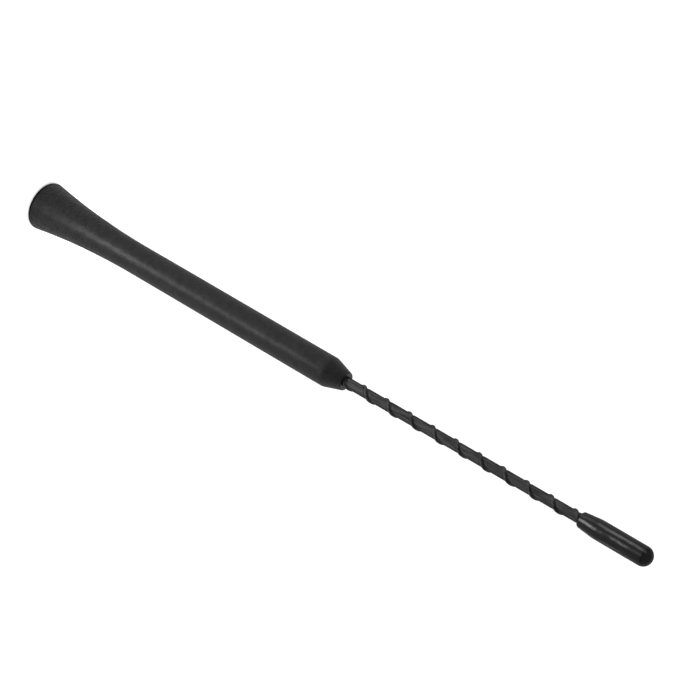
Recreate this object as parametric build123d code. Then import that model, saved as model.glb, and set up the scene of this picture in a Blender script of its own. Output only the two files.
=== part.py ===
from build123d import *
import math
import os

# Car mast aerial. The mast stands along +Z on its axis, and z = 0 is the sealing rim of the foot.
# Driving dimensions, in millimetres and degrees.

# Lengths that add up to the whole aerial
boot_length = 148.2
whip_length = 102.8
cap_length = 29.3

# Rubber boot: flared foot, straight grip, conical nose
foot_diameter = 18.8
rim_round = 1.4
flare_length = 48.4
grip_diameter = 11.25
shoulder_round = 4.0
nose_length = 7.6
nose_diameter = 6.8
nose_edge_round = 0.35

# Hollow under the foot that takes the boss of the roof base
recess_diameter = 12.8
recess_depth = 4.5
recess_draft = 8.0

# Brass insert turned from hexagon bar, tapped from below for an M6 stud
insert_sides = 6
insert_flats = 9.0
insert_body_length = 13.0
insert_edge_chamfer = 0.5
groove_width = 2.5
groove_diameter = 7.8
neck_diameter = 5.2
neck_length = 8.0
tapping_diameter = 5.0
thread_depth = 10.0
thread_mouth_chamfer = 0.6
drill_point_angle = 118.0
core_socket_depth = 3.5
coil_cup_depth = 3.5

# Wound core of the mast
core_diameter = 1.8
wire_diameter = 0.4

# Jacket over the winding, with one helical ridge
jacket_wall = 0.53
ridge_height = 0.43
ridge_crest_drop = 0.1
ridge_crest_angle = 50.0
ridge_root_angle = 110.0
ridge_pitch = 10.27
ridge_angle_at_nose = -72.0
ridge_end_gap = 0.2
jacket_in_boot = 12.0
jacket_in_cap = 12.0

# Moulded cap on the tip
cap_diameter = 7.15
cap_mouth_diameter = 5.65
cap_taper_length = 7.0
cap_taper_blend = 20.0
cap_mouth_round = 0.7
core_above_jacket = 6.0

# Radial room of each piece in the one around it
fit_clearance = 0.02

full_turn = 360.0

# Heights and radii that follow from the driving dimensions
nose_start = boot_length - nose_length
mouth_height = boot_length + whip_length
tip_height = mouth_height + cap_length
jacket_start = boot_length - jacket_in_boot
jacket_end = mouth_height + jacket_in_cap
core_end = jacket_end + core_above_jacket

insert_body_top = recess_depth + insert_body_length
insert_top = insert_body_top + neck_length
coil_start = insert_top - coil_cup_depth
core_start = coil_start - core_socket_depth

core_radius = core_diameter / 2
coil_bore_radius = core_radius + fit_clearance
coil_radius = coil_bore_radius + wire_diameter
jacket_bore_radius = coil_radius + fit_clearance
jacket_radius = jacket_bore_radius + jacket_wall
ridge_radius = jacket_radius + ridge_height


def turned(outline, rounds=()):
    """A half-section, with radius as x and height as y, its corners rounded, revolved about the axis."""
    section = make_face(outline)
    for corner, radius in rounds:
        section = fillet(section.vertices().sort_by_distance(corner)[0], radius)
    return revolve(Plane.XZ * section, Axis.Z)


def rod(radius, bottom, top):
    """A round bar on the mast's axis between two heights."""
    return Pos(0, 0, bottom) * Cylinder(radius, top - bottom, align=(Align.CENTER, Align.CENTER, Align.MIN))


def at_angle(radius, degrees):
    """A point of a cross-section, from its distance to the axis and its angle."""
    return Vector(radius, 0).rotate(Axis.Z, degrees)


def insert_blank():
    """Outside of the brass insert: a grooved hexagon that cannot turn or pull out, and a round neck."""
    corner_radius = insert_flats / 2 / math.cos(math.pi / insert_sides)
    groove_bottom = recess_depth + (insert_body_length - groove_width) / 2
    bar = RegularPolygon(corner_radius, insert_sides)
    body = extrude(Pos(0, 0, recess_depth) * bar, insert_body_length)
    top_corner = insert_body_top - insert_edge_chamfer
    lathe_limit = Polyline(
        (0, recess_depth),
        (corner_radius, recess_depth),
        (corner_radius, top_corner),
        (corner_radius - insert_edge_chamfer, insert_body_top),
        (0, insert_body_top),
        close=True,
    )
    body &= turned(lathe_limit)
    groove = rod(corner_radius, groove_bottom, groove_bottom + groove_width)
    groove -= rod(groove_diameter / 2, groove_bottom, groove_bottom + groove_width)
    return body - groove + rod(neck_diameter / 2, insert_body_top, insert_top)


def threaded_insert(blank):
    """The insert with its tapping-size blind hole below and the stepped socket for the wound core above."""
    tapping = tapping_diameter / 2
    hole_end = recess_depth + thread_depth
    point = hole_end + tapping / math.tan(math.radians(drill_point_angle / 2))
    drilled = Polyline(
        (0, recess_depth),
        (tapping + thread_mouth_chamfer, recess_depth),
        (tapping, recess_depth + thread_mouth_chamfer),
        (tapping, hole_end),
        (0, point),
        close=True,
    )
    core_socket = rod(core_radius + fit_clearance, core_start, insert_top)
    coil_cup = rod(coil_radius + fit_clearance, coil_start, insert_top)
    return blank - turned(drilled) - core_socket - coil_cup


def grip_boot(blank):
    """One rubber moulding: trumpet foot, straight grip and conical nose, moulded round the insert."""
    foot, grip, nose = foot_diameter / 2, grip_diameter / 2, nose_diameter / 2
    flare = TangentArc((grip, flare_length), (foot, 0), tangent=(0, -1))
    outline = Curve() + flare
    outline += Polyline((foot, 0), (0, 0), (0, boot_length), (nose, boot_length), (grip, nose_start))
    outline += Line((grip, nose_start), (grip, flare_length))
    rounds = [
        ((foot, 0), rim_round),
        ((grip, nose_start), shoulder_round),
        ((nose, boot_length), nose_edge_round),
    ]
    boot = turned(outline, rounds)

    recess_floor = recess_diameter / 2 - recess_depth * math.tan(math.radians(recess_draft))
    recess = Polyline(
        (0, 0),
        (recess_diameter / 2, 0),
        (recess_floor, recess_depth),
        (0, recess_depth),
        close=True,
    )
    coil_bore = rod(coil_radius + fit_clearance, insert_top, boot_length)
    jacket_seat = rod(jacket_radius + fit_clearance, jacket_start, boot_length)
    return boot - turned(recess) - blank - coil_bore - jacket_seat


def mast_core():
    """Glass-fibre rod from the insert's socket to the cap."""
    return rod(core_radius, core_start, core_end)


def radiator_coil():
    """Copper wire wound close on the core from end to end, its turns as one solid."""
    return rod(coil_radius, coil_start, core_end) - rod(coil_bore_radius, coil_start, core_end)


def mast_jacket():
    """Round skin over the winding, with a right-handed helical ridge between the boot and the cap."""
    ridge_start = boot_length + ridge_end_gap
    ridge_run = whip_length - 2 * ridge_end_gap
    wall_middle = jacket_radius - jacket_wall / 2
    shoulder_radius = ridge_radius - ridge_crest_drop
    rib = Polyline(
        at_angle(wall_middle, -ridge_root_angle / 2),
        at_angle(shoulder_radius, -ridge_crest_angle / 2),
        at_angle(ridge_radius, 0),
        at_angle(shoulder_radius, ridge_crest_angle / 2),
        at_angle(wall_middle, ridge_root_angle / 2),
        close=True,
    )
    start_angle = ridge_angle_at_nose + full_turn * ridge_end_gap / ridge_pitch
    twist = full_turn * ridge_run / ridge_pitch
    rib_face = make_face(rib).face()
    ridge = Solid.extrude_linear_with_rotation(rib_face, (0, 0, 0), (0, 0, ridge_run), twist)
    skin = rod(jacket_radius, jacket_start, jacket_end)
    skin += Pos(0, 0, ridge_start) * Rot(0, 0, start_angle) * ridge
    return skin - rod(jacket_bore_radius, jacket_start, jacket_end)


def tip_cap():
    """Bullet-shaped cap with a tapering mouth, pushed over the end of the jacket and the core."""
    side, mouth = cap_diameter / 2, cap_mouth_diameter / 2
    taper_end = mouth_height + cap_taper_length
    dome_start = tip_height - side
    outline = Curve() + CenterArc((0, dome_start), side, 0, full_turn / 4)
    outline += Polyline(
        (side, dome_start),
        (side, taper_end),
        (mouth, mouth_height),
        (0, mouth_height),
        (0, tip_height),
    )
    rounds = [((side, taper_end), cap_taper_blend), ((mouth, mouth_height), cap_mouth_round)]
    cap = turned(outline, rounds)
    jacket_bore = rod(jacket_radius + fit_clearance, mouth_height, jacket_end)
    core_bore = rod(coil_radius + fit_clearance, jacket_end, core_end)
    return cap - jacket_bore - core_bore


blank = insert_blank()
pieces = {
    "grip_boot": grip_boot(blank),
    "threaded_insert": threaded_insert(blank),
    "mast_core": mast_core(),
    "radiator_coil": radiator_coil(),
    "mast_jacket": mast_jacket(),
    "tip_cap": tip_cap(),
}

os.makedirs("parts", exist_ok=True)
for name, piece in pieces.items():
    export_step(piece, f"parts/{name}.step")
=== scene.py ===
import math

import bmesh
import bpy
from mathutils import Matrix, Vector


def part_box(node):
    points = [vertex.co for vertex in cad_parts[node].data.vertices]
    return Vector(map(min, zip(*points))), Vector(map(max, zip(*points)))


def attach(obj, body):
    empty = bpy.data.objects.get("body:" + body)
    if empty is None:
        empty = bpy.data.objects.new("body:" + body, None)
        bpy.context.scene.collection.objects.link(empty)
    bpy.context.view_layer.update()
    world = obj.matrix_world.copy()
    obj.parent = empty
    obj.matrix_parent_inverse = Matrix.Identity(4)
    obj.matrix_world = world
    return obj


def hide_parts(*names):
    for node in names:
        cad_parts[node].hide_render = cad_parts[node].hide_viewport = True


# Car mast aerial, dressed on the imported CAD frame. Lengths are in metres, written as millimetres times mm.
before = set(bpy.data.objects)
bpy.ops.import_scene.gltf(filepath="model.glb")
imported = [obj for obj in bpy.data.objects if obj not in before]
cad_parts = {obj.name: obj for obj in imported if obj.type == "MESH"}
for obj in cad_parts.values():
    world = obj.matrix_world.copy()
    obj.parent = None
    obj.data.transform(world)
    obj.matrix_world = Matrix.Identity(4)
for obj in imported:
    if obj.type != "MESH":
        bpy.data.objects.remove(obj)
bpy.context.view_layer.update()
bpy.context.scene.view_settings.view_transform = "Standard"
mm = 0.001


# Threaded insert: the fitting in the foot by which the aerial screws on to its base on the roof.
# Brass, turned from hexagon bar, tapped M6 from below and nickel plated; the boot is moulded round it.
thread_pitch = 1.0 * mm
thread_major = 3.0 * mm
thread_minor = 2.46 * mm
thread_turns = 10
points_per_turn = 48
same_level = 0.001 * mm
weld_distance = 0.0005 * mm
insert_smoothing = math.radians(28)

insert_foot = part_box("threaded_insert")[0].z
tap_foot = insert_foot - thread_pitch
tap_length = thread_turns * thread_pitch
tap_head = tap_foot + tap_length


def pick(piece, test):
    """Selects, in edit mode, the vertices whose place passes the test, and the edges between them."""
    shape = bmesh.from_edit_mesh(piece.data)
    for vertex in shape.verts:
        vertex.select = test(vertex.co)
    shape.select_flush_mode()
    bmesh.update_edit_mesh(piece.data)


def wind(piece, rise, turns, steps_per_turn):
    """Sweeps an outline up the axis while it turns to the right, and applies the sweep."""
    screw = piece.modifiers.new("wind", "SCREW")
    screw.angle = 2 * math.pi * turns
    screw.screw_offset = rise
    screw.steps = screw.render_steps = round(steps_per_turn * turns)
    bpy.ops.object.modifier_apply(modifier=screw.name)


# The tap: a round outline that runs out from the core to the crest and back, wound up the hole
bpy.ops.object.select_all(action="DESELECT")
bpy.ops.mesh.primitive_circle_add(vertices=points_per_turn, radius=thread_major)
tap = bpy.context.object
for vertex in tap.data.vertices:
    inward = abs(math.atan2(vertex.co.y, vertex.co.x)) / math.pi
    vertex.co *= (thread_major + (thread_minor - thread_major) * inward) / thread_major
tap.location.z = tap_foot
bpy.ops.object.transform_apply(location=True)
wind(tap, tap_length, thread_turns, points_per_turn)
bpy.ops.object.mode_set(mode="EDIT")
for level in (tap_foot, tap_head):
    pick(tap, lambda co: abs(co.z - level) < same_level)
    bpy.ops.mesh.edge_face_add()
bpy.ops.mesh.select_all(action="SELECT")
bpy.ops.mesh.normals_make_consistent(inside=False)
bpy.ops.object.mode_set(mode="OBJECT")

# The insert itself: a welded copy of the plain one, with the tap cut out of its hole
insert = bpy.data.objects.new("tapped_insert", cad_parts["threaded_insert"].data.copy())
bpy.context.scene.collection.objects.link(insert)
bpy.ops.object.select_all(action="DESELECT")
bpy.context.view_layer.objects.active = insert
insert.select_set(True)
bpy.ops.mesh.customdata_custom_splitnormals_clear()
bpy.ops.object.mode_set(mode="EDIT")
bpy.ops.mesh.select_all(action="SELECT")
bpy.ops.mesh.remove_doubles(threshold=weld_distance)
bpy.ops.object.mode_set(mode="OBJECT")
tapping = insert.modifiers.new("tapping", "BOOLEAN")
tapping.operation = "DIFFERENCE"
tapping.object = tap
bpy.ops.object.modifier_apply(modifier=tapping.name)
bpy.data.objects.remove(tap)
bpy.ops.object.shade_smooth_by_angle(angle=insert_smoothing)


def linear(hex_colour):
    """An sRGB hex colour as linear RGBA."""
    channels = [int(hex_colour[i : i + 2], 16) / 255 for i in (1, 3, 5)]
    return [c / 12.92 if c <= 0.04045 else ((c + 0.055) / 1.055) ** 2.4 for c in channels] + [1.0]


def node(owner, kind, inputs=None, **settings):
    """Adds one node: settings are its properties, inputs its values or the sockets that feed it."""
    made = owner.node_tree.nodes.new(kind)
    for name, value in settings.items():
        setattr(made, name, value)
    for name, value in (inputs or {}).items():
        if isinstance(value, bpy.types.NodeSocket):
            owner.node_tree.links.new(value, made.inputs[name])
        else:
            made.inputs[name].default_value = value
    return made


def finish(name):
    """A new material with no nodes yet."""
    made = bpy.data.materials.new(name)
    made.use_nodes = True
    made.node_tree.nodes.clear()
    return made


# Nickel-plated brass: a warm pale metal with a soft tarnish. The lathe's rings round the axis are drawn
# coarser than life so that they show. A wave texture of scale 1 repeats after wave_repeat.
wave_repeat = 2 * math.pi / 20
lathe_ring = 0.9425 * mm
ring_depth = 0.01 * mm
tarnish_size = 3 * mm
plated = finish("nickel_plated_brass")
place = node(plated, "ShaderNodeTexCoord").outputs["Object"]
rings = node(
    plated,
    "ShaderNodeTexWave",
    {"Vector": place, "Scale": wave_repeat / lathe_ring, "Distortion": 1.5, "Detail": 2.0},
    wave_type="RINGS",
    rings_direction="Z",
)
tarnish = node(plated, "ShaderNodeTexNoise", {"Vector": place, "Scale": 1 / tarnish_size, "Detail": 5.0})
shade = node(
    plated,
    "ShaderNodeMix",
    {"Factor": tarnish.outputs["Fac"], "A": linear("#b9b2a2"), "B": linear("#d6d1c4")},
    data_type="RGBA",
)
dull = node(
    plated, "ShaderNodeMapRange", {"Value": tarnish.outputs["Fac"], "To Min": 0.34, "To Max": 0.22}
)
relief = node(
    plated, "ShaderNodeBump", {"Height": rings.outputs["Fac"], "Strength": 0.2, "Distance": ring_depth}
)
metal = node(
    plated,
    "ShaderNodeBsdfPrincipled",
    {
        "Base Color": shade.outputs["Result"],
        "Metallic": 1.0,
        "Roughness": dull.outputs["Result"],
        "Normal": relief.outputs["Normal"],
    },
)
node(plated, "ShaderNodeOutputMaterial", {"Surface": metal.outputs["BSDF"]})
insert.data.materials.clear()
insert.data.materials.append(plated)
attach(insert, "root")
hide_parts("threaded_insert")


# Whip jacket: the black skin over the wound core, with one right-handed ridge round it.
# A shrunk polyolefin sleeve; what lies under it prints through as the soft, steep-sided ridge,
# and the skin draws in to a shallow groove along one side of it. Angles round the axis are in degrees.
jacket_foot, jacket_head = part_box("mast_jacket")
nose_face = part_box("grip_boot")[1].z
cap_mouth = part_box("tip_cap")[0].z
jacket_radius = 1.87 * mm
jacket_bore = 1.34 * mm
mid_wall = (jacket_bore + jacket_radius) / 2
ridge_height = jacket_head.x - jacket_radius
crest_half_angle = 12
ridge_flank = 1.15 * mm
groove_from = -58
groove_to = -48
groove_depth = 0.13 * mm
groove_flank = 0.75 * mm
ridge_pitch = 10.27 * mm
ridge_gap = 0.2 * mm
ridge_angle_at_nose = -72.0
outline_points = 72
steps_per_turn = 48
jacket_smoothing = math.radians(40)

ridge_foot = nose_face + ridge_gap
ridge_head = cap_mouth - ridge_gap
ridge_run = ridge_head - ridge_foot


def angle(co):
    """The angle of a point round the axis, in degrees."""
    return math.degrees(math.atan2(co.y, co.x))


def swell(piece, test, change, spread):
    """Moves the picked part of the jacket's outline out by a change, with a smooth slope on each side."""
    pick(piece, test)
    scale = 1 + change / jacket_radius
    bpy.ops.transform.resize(
        value=(scale, scale, 1),
        center_override=(0, 0, 0),
        use_proportional_edit=True,
        proportional_edit_falloff="SMOOTH",
        proportional_size=spread,
    )


bpy.ops.object.select_all(action="DESELECT")
bpy.ops.mesh.primitive_circle_add(vertices=outline_points, radius=jacket_radius)
jacket = bpy.context.object
jacket.name = "ridged_jacket"
bpy.ops.object.mode_set(mode="EDIT")
swell(jacket, lambda co: abs(angle(co)) < crest_half_angle, ridge_height, ridge_flank)
swell(jacket, lambda co: groove_from < angle(co) < groove_to, -groove_depth, groove_flank)
bpy.ops.object.mode_set(mode="OBJECT")
jacket.rotation_euler.z = math.radians(ridge_angle_at_nose) + 2 * math.pi * ridge_gap / ridge_pitch
jacket.location.z = ridge_foot
bpy.ops.object.transform_apply(location=True, rotation=True)
wind(jacket, ridge_run, ridge_run / ridge_pitch, steps_per_turn)


def on_ring(co, ring):
    """Whether a point is on a ring of the jacket's section, given by its radius and height."""
    radius, level = ring
    same_side = (math.hypot(co.x, co.y) > mid_wall) == (radius > mid_wall)
    return same_side and abs(co.z - level) < same_level


# The plain ends: rings from the ridge's foot down the skin, up the bore and back to the ridge's head
end_rings = (
    (jacket_radius, ridge_foot),
    (jacket_radius, nose_face),
    (jacket_radius, jacket_foot.z),
    (jacket_bore, jacket_foot.z),
    (jacket_bore, jacket_head.z),
    (jacket_radius, jacket_head.z),
    (jacket_radius, cap_mouth),
    (jacket_radius, ridge_head),
)
bpy.ops.object.mode_set(mode="EDIT")
for radius, level in end_rings[1:-1]:
    bpy.ops.mesh.primitive_circle_add(vertices=outline_points, radius=radius, location=(0, 0, level))
for start, end in zip(end_rings, end_rings[1:]):
    pick(jacket, lambda co: on_ring(co, start) or on_ring(co, end))
    bpy.ops.mesh.bridge_edge_loops()
bpy.ops.mesh.select_all(action="SELECT")
bpy.ops.mesh.normals_make_consistent(inside=False)
bpy.ops.object.mode_set(mode="OBJECT")
bpy.ops.object.shade_smooth_by_angle(angle=jacket_smoothing)

# Shrunk polyolefin: a satin black, a little lumpy, with streaks along the way the sleeve was drawn.
# It is duller toward the tip, with a painted highlight that makes it a little brighter on the ridge's crest,
# and its gloss falls toward the rims. Lumps and streaks are drawn as coarse as they need to show.
lump_size = 0.9 * mm
lump_depth = 0.05 * mm
streak_width = 0.4 * mm
streak_length = 6 * mm
sleeve = finish("shrunk_polyolefin")
place = node(sleeve, "ShaderNodeTexCoord").outputs["Object"]


def lengthwise(owner, place, radius, width, length):
    """Pattern space in which one unit is a width round the mast and a length along it."""
    flat = node(owner, "ShaderNodeVectorMath", {0: place, 1: (1, 1, 0)}, operation="MULTIPLY")
    around = node(owner, "ShaderNodeVectorMath", {0: flat.outputs["Vector"]}, operation="NORMALIZE")
    rise = node(owner, "ShaderNodeVectorMath", {0: place, 1: (0, 0, 1 / length)}, operation="MULTIPLY")
    lanes = radius / width
    space = node(
        owner,
        "ShaderNodeVectorMath",
        {0: around.outputs["Vector"], 1: (lanes, lanes, 0), 2: rise.outputs["Vector"]},
        operation="MULTIPLY_ADD",
    )
    return space.outputs["Vector"]


def soft_rim(owner, middle, start=0.15, end=0.75):
    """A specular level that falls from the middle of a round surface to its rims."""
    turn = node(owner, "ShaderNodeLayerWeight", {"Blend": 0.5})
    fall = node(
        owner,
        "ShaderNodeMapRange",
        {
            "Value": turn.outputs["Facing"],
            "From Min": start,
            "From Max": end,
            "To Min": middle,
            "To Max": 0.03,
        },
    )
    return fall.outputs["Result"]


drawn = lengthwise(sleeve, place, jacket_radius, streak_width, streak_length)
streaks = node(sleeve, "ShaderNodeTexNoise", {"Vector": drawn, "Scale": 1.0, "Detail": 3.0})
lumps = node(sleeve, "ShaderNodeTexNoise", {"Vector": place, "Scale": 1 / lump_size, "Detail": 3.0})
shade = node(
    sleeve,
    "ShaderNodeMix",
    {"Factor": streaks.outputs["Fac"], "A": linear("#0d0d0d"), "B": linear("#1a1a1a")},
    data_type="RGBA",
)
relief = node(
    sleeve, "ShaderNodeBump", {"Height": lumps.outputs["Fac"], "Strength": 0.4, "Distance": lump_depth}
)
flat = node(sleeve, "ShaderNodeVectorMath", {0: place, 1: (1, 1, 0)}, operation="MULTIPLY")
reach = node(sleeve, "ShaderNodeVectorMath", {0: flat.outputs["Vector"]}, operation="LENGTH")
ridge_rim = node(
    sleeve,
    "ShaderNodeMapRange",
    {
        "Value": reach.outputs["Value"],
        "From Min": jacket_radius + 0.1 * ridge_height,
        "From Max": jacket_radius + 0.4 * ridge_height,
        "To Min": 0.5,
        "To Max": 0.6,
    },
)
# Painted highlight: the specular level rises on the ridge's crest
crest_highlight = node(
    sleeve,
    "ShaderNodeMapRange",
    {
        "Value": reach.outputs["Value"],
        "From Min": jacket_radius + 0.5 * ridge_height,
        "From Max": jacket_radius + 0.95 * ridge_height,
        "To Min": 1.0,
        "To Max": 1.15,
    },
)
height = node(sleeve, "ShaderNodeSeparateXYZ", {"Vector": place})
tip_fade = node(
    sleeve,
    "ShaderNodeMapRange",
    {
        "Value": height.outputs["Z"],
        "From Min": nose_face,
        "From Max": cap_mouth,
        "To Min": 1.03,
        "To Max": 0.7,
    },
)
streak_sheen = node(
    sleeve,
    "ShaderNodeMapRange",
    {"Value": streaks.outputs["Fac"], "From Min": 0.34, "From Max": 0.66, "To Min": 0.3, "To Max": 0.9},
)
sheen = streak_sheen.outputs["Result"]
for share in (tip_fade, crest_highlight):
    product = node(sleeve, "ShaderNodeMath", {0: sheen, 1: share.outputs["Result"]}, operation="MULTIPLY")
    sheen = product.outputs["Value"]
skin = node(
    sleeve,
    "ShaderNodeBsdfPrincipled",
    {
        "Base Color": shade.outputs["Result"],
        "Roughness": 0.32,
        "IOR": 1.5,
        "Specular IOR Level": soft_rim(sleeve, sheen, 0.25, ridge_rim.outputs["Result"]),
        "Normal": relief.outputs["Normal"],
    },
)
node(sleeve, "ShaderNodeOutputMaterial", {"Surface": skin.outputs["BSDF"]})
jacket.data.materials.append(sleeve)
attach(jacket, "root")
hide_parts("mast_jacket")


# Boot: the sheath that is gripped by hand, with a flared foot, a straight grip and a conical nose.
# One EPDM rubber moulding, pressed in a spark-eroded mould round the insert and the mast's lower end.
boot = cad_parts["grip_boot"]
grip_radius = 5.6 * mm
rim_edge = 1.8 * mm
rim_edge_start = 0.65 * rim_edge
even_from = 60 * mm

# Moulded EPDM: soft and almost black, with painted shade at the rim's edge: dead black there, with its gloss
# taken away.
# Its eroded grain is drawn coarser than life so that it shows. Faint flow lines and patches break the one
# broad band of light. The foot has more grain than the grip, and painted shade, less gloss and a deeper
# colour, that makes up for the low strips close to it.
grain_size = 0.9 * mm
grain_depth = 0.35 * mm
flow_width = 0.9 * mm
flow_length = 14 * mm
patch_size = 2.4 * mm
rubber = finish("moulded_epdm_rubber")
place = node(rubber, "ShaderNodeTexCoord").outputs["Object"]
height = node(rubber, "ShaderNodeSeparateXYZ", {"Vector": place})
along = lengthwise(rubber, place, grip_radius, flow_width, flow_length)
flow = node(rubber, "ShaderNodeTexNoise", {"Vector": along, "Scale": 1.0, "Detail": 4.0})
grain = node(rubber, "ShaderNodeTexNoise", {"Vector": place, "Scale": 1 / grain_size, "Detail": 3.0})
patches = node(rubber, "ShaderNodeTexNoise", {"Vector": place, "Scale": 1 / patch_size, "Detail": 2.0})
# Painted shade along the rim's edge: 0 at the rim, 1 above it
clear_of_rim_shade = node(
    rubber,
    "ShaderNodeMapRange",
    {"Value": height.outputs["Z"], "From Min": rim_edge_start, "From Max": rim_edge},
)
# Painted shade toward the foot, in colour and gloss, that makes up for the low strips close to it
clear_of_foot_shade = node(rubber, "ShaderNodeMapRange", {"Value": height.outputs["Z"], "From Max": even_from})
foot_shade_gloss = node(
    rubber,
    "ShaderNodeMapRange",
    {"Value": height.outputs["Z"], "From Max": even_from, "To Min": 0.78, "To Max": 1.0},
)
smoother = node(
    rubber,
    "ShaderNodeMapRange",
    {"Value": height.outputs["Z"], "From Max": even_from, "To Min": 1.0, "To Max": 0.22},
)
grip_shade = node(
    rubber,
    "ShaderNodeMix",
    {"Factor": flow.outputs["Fac"], "A": linear("#131314"), "B": linear("#1d1d1d")},
    data_type="RGBA",
)
shade = grip_shade.outputs["Result"]
# Painted shade in the colour: deeper toward the foot, dead black at the rim's edge
for share, darker in ((clear_of_foot_shade, "#0c0c0d"), (clear_of_rim_shade, "#050505")):
    mix = node(
        rubber,
        "ShaderNodeMix",
        {"Factor": share.outputs["Result"], "A": linear(darker), "B": shade},
        data_type="RGBA",
    )
    shade = mix.outputs["Result"]
matt = node(rubber, "ShaderNodeMapRange", {"Value": flow.outputs["Fac"], "To Min": 0.3, "To Max": 0.44})
patch_sheen = node(
    rubber,
    "ShaderNodeMapRange",
    {"Value": patches.outputs["Fac"], "From Min": 0.3, "From Max": 0.7, "To Min": 0.41, "To Max": 0.58},
)
sheen = patch_sheen.outputs["Result"]
# Painted shade in the gloss as well: none at the rim's edge, less toward the foot
for share in (clear_of_rim_shade, foot_shade_gloss):
    product = node(rubber, "ShaderNodeMath", {0: sheen, 1: share.outputs["Result"]}, operation="MULTIPLY")
    sheen = product.outputs["Value"]
relief = node(
    rubber,
    "ShaderNodeBump",
    {"Height": grain.outputs["Fac"], "Strength": smoother.outputs["Result"], "Distance": grain_depth},
)
skin = node(
    rubber,
    "ShaderNodeBsdfPrincipled",
    {
        "Base Color": shade,
        "Roughness": matt.outputs["Result"],
        "IOR": 1.36,
        "Specular IOR Level": soft_rim(rubber, sheen),
        "Normal": relief.outputs["Normal"],
    },
)
node(rubber, "ShaderNodeOutputMaterial", {"Surface": skin.outputs["BSDF"]})
boot.data.materials[0] = rubber


# Tip cap: the bullet-shaped end that closes the jacket and softens the mast's point.
# Black ABS from a polished mould, pushed over the jacket and the core.
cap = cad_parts["tip_cap"]

# Gloss ABS: deep black with clear streaks of light. The wall sinks a little, so the streaks waver,
# and fine scuffs dull it in patches.
sink_size = 4.5 * mm
sink_depth = 0.25 * mm
scuff_size = 0.8 * mm
gloss = finish("gloss_black_abs")
place = node(gloss, "ShaderNodeTexCoord").outputs["Object"]
sink = node(gloss, "ShaderNodeTexNoise", {"Vector": place, "Scale": 1 / sink_size, "Detail": 1.0})
scuff = node(gloss, "ShaderNodeTexNoise", {"Vector": place, "Scale": 1 / scuff_size, "Detail": 5.0})
shade = node(
    gloss,
    "ShaderNodeMix",
    {"Factor": scuff.outputs["Fac"], "A": linear("#070708"), "B": linear("#101012")},
    data_type="RGBA",
)
dull = node(gloss, "ShaderNodeMapRange", {"Value": scuff.outputs["Fac"], "To Min": 0.15, "To Max": 0.25})
relief = node(
    gloss, "ShaderNodeBump", {"Height": sink.outputs["Fac"], "Strength": 1.0, "Distance": sink_depth}
)
skin = node(
    gloss,
    "ShaderNodeBsdfPrincipled",
    {
        "Base Color": shade.outputs["Result"],
        "Roughness": dull.outputs["Result"],
        "IOR": 1.27,
        "Specular IOR Level": soft_rim(gloss, 0.42),
        "Normal": relief.outputs["Normal"],
    },
)
node(gloss, "ShaderNodeOutputMaterial", {"Surface": skin.outputs["BSDF"]})
cap.data.materials[0] = gloss


# Mast core: the springy rod inside the winding, from the insert's socket to the cap.
# Pulled through a die as glass fibres in clear resin, then cut to length.
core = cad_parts["mast_core"]

# Glass fibre in resin: pale and slightly green, with bright strands along the rod, drawn coarser than life
strand_width = 0.08 * mm
strand_length = 8 * mm
fibre = finish("pultruded_glass_fibre")
place = node(fibre, "ShaderNodeTexCoord").outputs["Object"]
along = node(
    fibre,
    "ShaderNodeMapping",
    {"Vector": place, "Scale": (1 / strand_width, 1 / strand_width, 1 / strand_length)},
)
strands = node(fibre, "ShaderNodeTexNoise", {"Vector": along.outputs["Vector"], "Scale": 1.0, "Detail": 2.0})
shade = node(
    fibre,
    "ShaderNodeMix",
    {"Factor": strands.outputs["Fac"], "A": linear("#b9bfa6"), "B": linear("#e2e4d2")},
    data_type="RGBA",
)
body = node(fibre, "ShaderNodeBsdfPrincipled", {"Base Color": shade.outputs["Result"], "Roughness": 0.35})
node(fibre, "ShaderNodeOutputMaterial", {"Surface": body.outputs["BSDF"]})
core.data.materials[0] = fibre


# Radiator coil: the wire that receives, wound close on the core from the insert to the cap.
# Enamelled copper wire; its turns are one tube in the model and show as a wound relief.
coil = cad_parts["radiator_coil"]
wire_pitch = 0.4 * mm
turn_depth = 0.1 * mm

# Enamelled copper: a clear amber lacquer over red metal, with painted light and shade on each turn: one
# bright line, dark between
wire = finish("enamelled_copper")
place = node(wire, "ShaderNodeTexCoord").outputs["Object"]
turns = node(
    wire,
    "ShaderNodeTexWave",
    {"Vector": place, "Scale": wave_repeat / wire_pitch},
    wave_type="BANDS",
    bands_direction="Z",
)
shade = node(
    wire,
    "ShaderNodeMix",
    {"Factor": turns.outputs["Fac"], "A": linear("#5a2410"), "B": linear("#b5623a")},
    data_type="RGBA",
)
relief = node(
    wire, "ShaderNodeBump", {"Height": turns.outputs["Fac"], "Strength": 0.8, "Distance": turn_depth}
)
metal = node(
    wire,
    "ShaderNodeBsdfPrincipled",
    {
        "Base Color": shade.outputs["Result"],
        "Metallic": 1.0,
        "Roughness": 0.3,
        "Normal": relief.outputs["Normal"],
        "Coat Weight": 0.6,
        "Coat Roughness": 0.1,
    },
)
node(wire, "ShaderNodeOutputMaterial", {"Surface": metal.outputs["BSDF"]})
coil.data.materials[0] = wire


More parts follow.
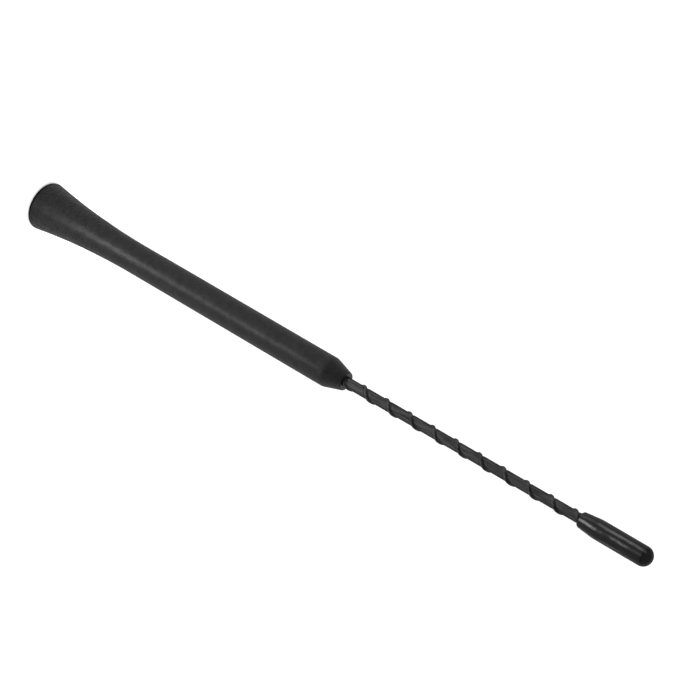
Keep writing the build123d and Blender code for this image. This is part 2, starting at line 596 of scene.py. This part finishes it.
# Floor: a wide sheet of white paper under the foot.
# The camera and mirror-like surfaces see it close to white, with a faint shadow left in it,
# and a view from below looks through it.
floor_size = 20.0
glow_level = 0.36
bpy.ops.object.select_all(action="DESELECT")
bpy.ops.mesh.primitive_plane_add(size=floor_size, location=(0, 0, 0))
floor = bpy.context.object
floor.name = "floor"
paper = finish("white_paper")
rays = node(paper, "ShaderNodeLightPath")
seen = rays.outputs["Is Camera Ray"]
for kind in ("Is Glossy Ray", "Is Transmission Ray"):
    either = node(paper, "ShaderNodeMath", {0: seen, 1: rays.outputs[kind]}, operation="MAXIMUM")
    seen = either.outputs["Value"]
level = node(paper, "ShaderNodeMath", {0: seen, 1: glow_level}, operation="MULTIPLY")
white = node(paper, "ShaderNodeBsdfDiffuse", {"Color": linear("#f8f8f8")})
glow = node(paper, "ShaderNodeEmission", {"Color": linear("#ffffff"), "Strength": level.outputs["Value"]})
lit = node(paper, "ShaderNodeAddShader", {0: white.outputs["BSDF"], 1: glow.outputs["Emission"]})
under = node(paper, "ShaderNodeNewGeometry")
clear = node(paper, "ShaderNodeBsdfTransparent")
sheet = node(
    paper,
    "ShaderNodeMixShader",
    {0: under.outputs["Backfacing"], 1: lit.outputs["Shader"], 2: clear.outputs["BSDF"]},
)
node(paper, "ShaderNodeOutputMaterial", {"Surface": sheet.outputs["Shader"]})
floor.data.materials.append(paper)


# Studio: a dim room with a paler wall behind the mast, soft light from above, a softbox on each side,
# low strips before and behind the mast, and small panels near the cap and the nose.
world = bpy.data.worlds.new("studio")
bpy.context.scene.world = world
world.use_nodes = True
world.node_tree.nodes.clear()
way = node(world, "ShaderNodeTexCoord").outputs["Generated"]
direction = node(world, "ShaderNodeSeparateXYZ", {"Vector": way})
back_wall = node(
    world,
    "ShaderNodeMapRange",
    {"Value": direction.outputs["Y"], "From Min": 0.3, "From Max": 0.85, "To Min": 0.22, "To Max": 0.9},
)
air = node(
    world, "ShaderNodeBackground", {"Color": linear("#ffffff"), "Strength": back_wall.outputs["Result"]}
)
node(world, "ShaderNodeOutputWorld", {"Surface": air.outputs["Background"]})


def lamp(name, place, tilt, turn, width, tall, radiance):
    """A rectangular lamp, given by the brightness of its face."""
    bpy.ops.object.light_add(type="AREA", location=place, rotation=(tilt, 0, turn))
    made = bpy.context.object
    made.name = name
    made.data.shape = "RECTANGLE"
    made.data.size = width
    made.data.size_y = tall
    made.data.energy = radiance * math.pi * width * tall
    made.visible_camera = False
    return made


def upright(name, bearing, distance, bottom, top, width, radiance):
    """An upright lamp that faces the mast, at a bearing from the camera's side in degrees."""
    turn = math.radians(bearing)
    place = (distance * math.sin(turn), -distance * math.cos(turn), (bottom + top) / 2)
    return lamp(name, place, math.radians(90), turn, width, top - bottom, radiance)


def lights_only(lamps, piece):
    """Makes the lamps light one piece and nothing else."""
    receivers = bpy.data.collections.new(f"{piece.name}_only")
    receivers.objects.link(piece)
    for each in lamps:
        each.light_linking.receiver_collection = receivers


sky_height = 1.6
bpy.ops.object.light_add(type="SUN", location=(0, 0, sky_height))
sky = bpy.context.object
sky.name = "soft_sky"
sky.data.energy = 1.4
sky.data.angle = math.radians(90)
sky.visible_glossy = False

softbox_bearing = 105
softbox_distance = 0.9
softbox_size = 0.8
for side, bearing, radiance in (("left", -softbox_bearing, 0.2), ("right", softbox_bearing, 0.6)):
    upright(f"{side}_softbox", bearing, softbox_distance, 0, softbox_size, softbox_size, radiance)

strip_bearing = 18
strip_distance = 40 * mm
strip_width = 15 * mm
strip_foot = 6 * mm
strip_join = 32 * mm
strip_head = 116 * mm
foot_radiance = 7.4
grip_radiance = 2.4
for side, bearing in (("front", strip_bearing), ("back", strip_bearing + 180)):
    upright(f"{side}_foot_strip", bearing, strip_distance, strip_foot, strip_join, strip_width, foot_radiance)
    upright(f"{side}_grip_strip", bearing, strip_distance, strip_join, strip_head, strip_width, grip_radiance)

# Panels for the glossy cap: a broad one above it, and upright ones that each draw a stretch of a streak.
# Each row is a name, a bearing, a bottom, top and width in millimetres, and a brightness.
cap_top_height = 360 * mm
cap_top_size = 400 * mm
cap_top_radiance = 0.4
cap_panel_distance = 30 * mm
cap_panels = [
    lamp("cap_top_panel", (0, 0, cap_top_height), 0, 0, cap_top_size, cap_top_size, cap_top_radiance)
]
for name, bearing, bottom, top, width, radiance in (
    ("mouth", 11, 228, 240, 16, 17.1),
    ("neck", 13, 240, 245.5, 13, 13.0),
    ("front", 8, 255, 258.5, 12, 14.4),
    ("front_end", 8, 262, 282, 12, 2.2),
    ("mouth_side", -54, 228, 240, 18, 2.5),
    ("low_side", -52, 244, 252, 16, 5.3),
    ("side", -52, 252, 259, 16, 7.9),
    ("high_side", -52, 259, 270, 16, 5.1),
    ("end_side", -52, 270, 292, 16, 2.7),
    ("low_edge", 97, 250, 257, 6, 5.0),
    ("back", 180, 228, 262, 9, 7.0),
):
    heights = (bottom * mm, top * mm)
    cap_panels.append(
        upright(f"cap_{name}_panel", bearing, cap_panel_distance, *heights, width * mm, radiance)
    )
lights_only(cap_panels, cap)

# A panel up behind the nose that lights its end face
nose_panel_place = (0, 52 * mm, nose_face + 30 * mm)
nose_panel_tilt = math.radians(-60)
nose_panel_size = (70 * mm, 60 * mm)
nose_radiance = 0.9
nose_panel = lamp("nose_panel", nose_panel_place, nose_panel_tilt, 0, *nose_panel_size, nose_radiance)
lights_only([nose_panel], boot)


# Camera: 30 degrees above the foot's plane, rolled so that the mast runs down to the right
aim_side = -11.37 * mm
aim_height = 137.65 * mm
camera_distance = 1102.3 * mm
elevation = math.radians(30)
roll = math.radians(120.05)
camera_back = camera_distance * math.cos(elevation)
camera_rise = camera_distance * math.sin(elevation)
bpy.ops.object.camera_add(location=(aim_side, -camera_back, aim_height + camera_rise))
camera = bpy.context.object
camera.rotation_mode = "ZYX"
camera.rotation_euler = (math.pi / 2 - elevation, 0, roll)
camera.data.sensor_width = 36.0
camera.data.lens = 168.17
bpy.context.scene.camera = camera
